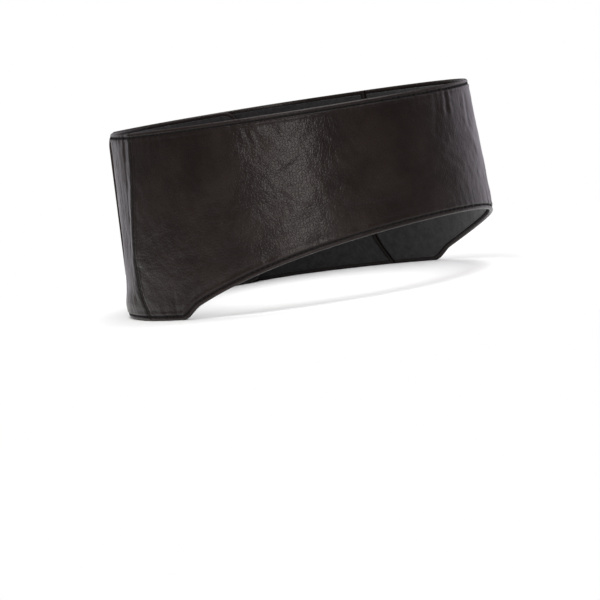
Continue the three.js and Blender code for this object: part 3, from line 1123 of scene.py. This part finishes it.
class EarWarmerSettings(bpy.types.PropertyGroup):
    """The sizes and colours of the leather, the stitching and the closure."""

    leather_colour: FloatVectorProperty(
        name="Leather",
        description="Colour of the leather",
        default=(0.0146, 0.0099, 0.0089),
        subtype="COLOR",
        size=3,
    )
    worn_colour: FloatVectorProperty(
        name="Worn Leather",
        description="Colour of the leather where its crests are rubbed",
        default=(0.030, 0.024, 0.022),
        subtype="COLOR",
        size=3,
    )
    lining_colour: FloatVectorProperty(
        name="Lining",
        description="Colour of the fleece lining",
        default=(0.016, 0.015, 0.016),
        subtype="COLOR",
        size=3,
    )
    thread_colour: FloatVectorProperty(
        name="Thread",
        description="Colour of the sewing thread",
        default=(0.006, 0.005, 0.005),
        subtype="COLOR",
        size=3,
    )
    wrinkle_height: FloatProperty(
        name="Wrinkles",
        description="How strongly the leather puckers and folds",
        default=1.0,
        min=0.0,
        max=1.5,
    )
    cloth_share: FloatProperty(
        name="Cloth Folds",
        description="How much of the simulated folds of the leather is kept",
        default=0.8,
        min=0.0,
        max=1.5,
    )
    stitch_pitch: FloatProperty(
        name="Stitch Pitch",
        description="Distance from one stitch to the next",
        default=2.8 * MM,
        unit="LENGTH",
    )
    stitch_length: FloatProperty(
        name="Stitch Length",
        description="Length of the thread that shows in one stitch",
        default=2.3 * MM,
        unit="LENGTH",
    )
    thread_thickness: FloatProperty(
        name="Thread Thickness",
        description="Thickness of the sewing thread",
        default=0.55 * MM,
        unit="LENGTH",
    )
    pile_pitch: FloatProperty(
        name="Pile Pitch",
        description="Distance between the hooks, and between the loops, of the closure",
        default=1.6 * MM,
        unit="LENGTH",
    )
    seed: IntProperty(name="Seed", description="Start of the random draws", default=7)


class HEADBAND_OT_stage(bpy.types.Operator):
    """Add the camera, the floor and the studio lights"""

    bl_idname = "headband.stage"
    bl_label = "Add Stage"

    def execute(self, context):
        add_camera(context.scene)
        add_floor()
        add_lights(context.scene)
        return {"FINISHED"}


class HEADBAND_OT_settle(bpy.types.Operator):
    """Sew each leather panel down as cloth and let it settle"""

    bl_idname = "headband.settle"
    bl_label = "Settle Leather"

    def execute(self, context):
        SETTLED.clear()
        for name, (pattern, _, seed) in PANELS.items():
            SETTLED[name] = Settled(pattern, seed)
        return {"FINISHED"}


class HEADBAND_OT_panels(bpy.types.Operator):
    """Cut and fold the three leather panels"""

    bl_idname = "headband.panels"
    bl_label = "Make Leather Panels"

    def execute(self, context):
        settings = context.scene.ear_warmer
        material = leather_material(settings)
        for name in PANELS:
            make_panel(name, material, settings)
        return {"FINISHED"}


class HEADBAND_OT_linings(bpy.types.Operator):
    """Lay the padding and the fleece linings"""

    bl_idname = "headband.linings"
    bl_label = "Make Linings"

    def execute(self, context):
        settings = context.scene.ear_warmer
        make_linings(lining_material(settings))
        make_padding(wadding_material(), settings)
        return {"FINISHED"}


class HEADBAND_OT_stitching(bpy.types.Operator):
    """Sew every row of stitches"""

    bl_idname = "headband.stitching"
    bl_label = "Sew Stitching"

    def execute(self, context):
        settings = context.scene.ear_warmer
        make_stitching(thread_material(settings), settings)
        return {"FINISHED"}


class HEADBAND_OT_closure(bpy.types.Operator):
    """Make the hook and loop tapes"""

    bl_idname = "headband.closure"
    bl_label = "Make Closure"

    def execute(self, context):
        settings = context.scene.ear_warmer
        pitch = settings.pile_pitch / MM
        base = PATCH / 2
        loops = tape_material("loop_pile", (0.010, 0.010, 0.011), 0.85)
        hooks = tape_material("hook_moulding", (0.008, 0.008, 0.009), 0.45)
        loop_depth = -GAP - base
        tape = make_tape("loop_tape", LOOP, "right_back", loop_depth, base, loops)
        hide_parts("loop_patch")
        grid = point_grid("loop_points", LOOP, loop_depth, pitch, False, settings.seed)
        tree = pile_grower("loop_pile", loop_tip)
        values = {"Height": 0.42 * MM, "Seed": settings.seed, "Material": loops}
        pile = tree.grow("loop_tape_loops", grid, values)
        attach(pile, "right_back")
        hook_depth = TAIL_DEPTH + GAP
        tape = make_tape("hook_tape", HOOK, "left_back", hook_depth, base, hooks)
        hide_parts("hook_patch")
        grid = point_grid("hook_points", HOOK, hook_depth + base, pitch, False, settings.seed + 1)
        tree = pile_grower("hook_pile", hook_tip)
        values = {"Height": 0.33 * MM, "Seed": settings.seed + 1, "Material": hooks}
        pile = tree.grow("hook_tape_hooks", grid, values)
        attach(pile, "left_back")
        return {"FINISHED"}


class HEADBAND_PT_workshop(bpy.types.Panel):
    """Lists the steps in the order in which they are run"""

    bl_idname = "HEADBAND_PT_workshop"
    bl_label = "Ear Warmer"
    bl_space_type = "VIEW_3D"
    bl_region_type = "UI"
    bl_category = "Ear Warmer"

    def draw(self, context):
        settings = context.scene.ear_warmer
        for name in EarWarmerSettings.__annotations__:
            self.layout.prop(settings, name)
        for step in STEPS:
            self.layout.operator(step.bl_idname)


# ---- Stage ----

CAMERA_AZIMUTH = math.radians(40.0)
CAMERA_ELEVATION = math.radians(3.29)
CAMERA_ROLL = math.radians(-9.21)
CAMERA_DISTANCE = 1.4
CAMERA_LENS = 176.3
CAMERA_AIM_DROP = 0.0486  # the camera looks this far below the middle of the band


def add_camera(scene):
    data = bpy.data.cameras.new("camera")
    data.lens = CAMERA_LENS
    data.sensor_width = 36.0
    data.clip_start, data.clip_end = 0.05, 100.0
    camera = bpy.data.objects.new("camera", data)
    scene.collection.objects.link(camera)
    middle = Vector((0.0, MIDDLE * MM, HEIGHT * MM / 2))
    level = math.cos(CAMERA_ELEVATION)
    back = Vector(
        (
            -math.sin(CAMERA_AZIMUTH) * level,
            -math.cos(CAMERA_AZIMUTH) * level,
            math.sin(CAMERA_ELEVATION),
        )
    )
    level_right = Vector((math.cos(CAMERA_AZIMUTH), -math.sin(CAMERA_AZIMUTH), 0.0))
    level_up = back.cross(level_right)
    up = math.cos(CAMERA_ROLL) * level_up - math.sin(CAMERA_ROLL) * level_right
    place = middle + back * CAMERA_DISTANCE
    look = (middle - up * CAMERA_AIM_DROP - place).normalized()
    right = look.cross(up).normalized()
    up = right.cross(look)
    axes = Matrix((right, up, -look)).transposed()
    camera.matrix_world = Matrix.Translation(place) @ axes.to_4x4()
    scene.camera = camera


def add_floor():
    bpy.ops.mesh.primitive_circle_add(vertices=96, radius=0.3, fill_type="NGON")
    floor = bpy.context.object
    floor.name = "floor"

    def build(nodes):
        return {"Base Color": (0.90, 0.90, 0.90, 1.0), "Roughness": 0.9, "Specular IOR Level": 0.1}

    floor.data.materials.append(new_material("pale_floor", build))


def add_light(name, azimuth, elevation, distance, size, power, colour=(1.0, 1.0, 1.0)):
    """A soft light that faces the band. Its azimuth is counted like the camera's, in degrees."""
    data = bpy.data.lights.new(name, "AREA")
    data.shape = "RECTANGLE"
    data.size, data.size_y = size
    data.energy = power
    data.color = colour
    light = bpy.data.objects.new(name, data)
    light.visible_camera = False
    bpy.context.scene.collection.objects.link(light)
    turn, rise = math.radians(azimuth), math.radians(elevation)
    away = Vector((-math.sin(turn) * math.cos(rise), -math.cos(turn) * math.cos(rise), math.sin(rise)))
    light.location = Vector((0.0, 0.0, 0.04)) + away * distance
    light.rotation_mode = "QUATERNION"
    light.rotation_quaternion = (-away).to_track_quat("-Z", "Y")


def add_overhead(strength):
    """A very soft light from straight above, the same all over the floor."""
    data = bpy.data.lights.new("overhead", "SUN")
    data.energy = strength
    data.angle = math.radians(60.0)
    light = bpy.data.objects.new("overhead", data)
    bpy.context.scene.collection.objects.link(light)


def add_lights(scene):
    world = bpy.data.worlds.new("studio")
    world.use_nodes = True
    world.node_tree.nodes.clear()
    nodes = Nodes(world.node_tree)
    seen = nodes.add("ShaderNodeLightPath", {}, {}, "Is Camera Ray")
    strength = 0.15 + 0.85 * seen
    sky = nodes.add("ShaderNodeBackground", {}, {"Color": (1.0, 1.0, 1.0, 1.0), "Strength": strength})
    nodes.add("ShaderNodeOutputWorld", {}, {"Surface": sky})
    scene.world = world
    add_light("key", 66.0, 10.0, 2.0, (0.56, 0.9), 18.5, (1.0, 0.96, 0.93))
    add_light("left_backdrop", 212.0, 1.0, 2.4, (2.2, 0.6), 3.8, (1.0, 0.95, 1.04))
    add_light("right_backdrop", 268.0, 6.0, 2.4, (2.8, 1.2), 10.5, (1.0, 0.93, 1.06))
    add_light("fill", 320.0, 30.0, 2.6, (1.4, 1.4), 9.0, (1.0, 0.90, 1.04))
    add_overhead(3.6)
    scene.view_settings.view_transform = "Standard"


STEPS = (
    HEADBAND_OT_stage,
    HEADBAND_OT_settle,
    HEADBAND_OT_panels,
    HEADBAND_OT_linings,
    HEADBAND_OT_stitching,
    HEADBAND_OT_closure,
)
CLASSES = (EarWarmerSettings, *STEPS, HEADBAND_PT_workshop)


def register():
    for each in CLASSES:
        bpy.utils.register_class(each)
    bpy.types.Scene.ear_warmer = PointerProperty(type=EarWarmerSettings)


def unregister():
    del bpy.types.Scene.ear_warmer
    for each in reversed(CLASSES):
        bpy.utils.unregister_class(each)


def main():
    register()
    for step in STEPS:
        family, name = step.bl_idname.split(".")
        getattr(getattr(bpy.ops, family), name)()


if __name__ == "__main__":
    main()
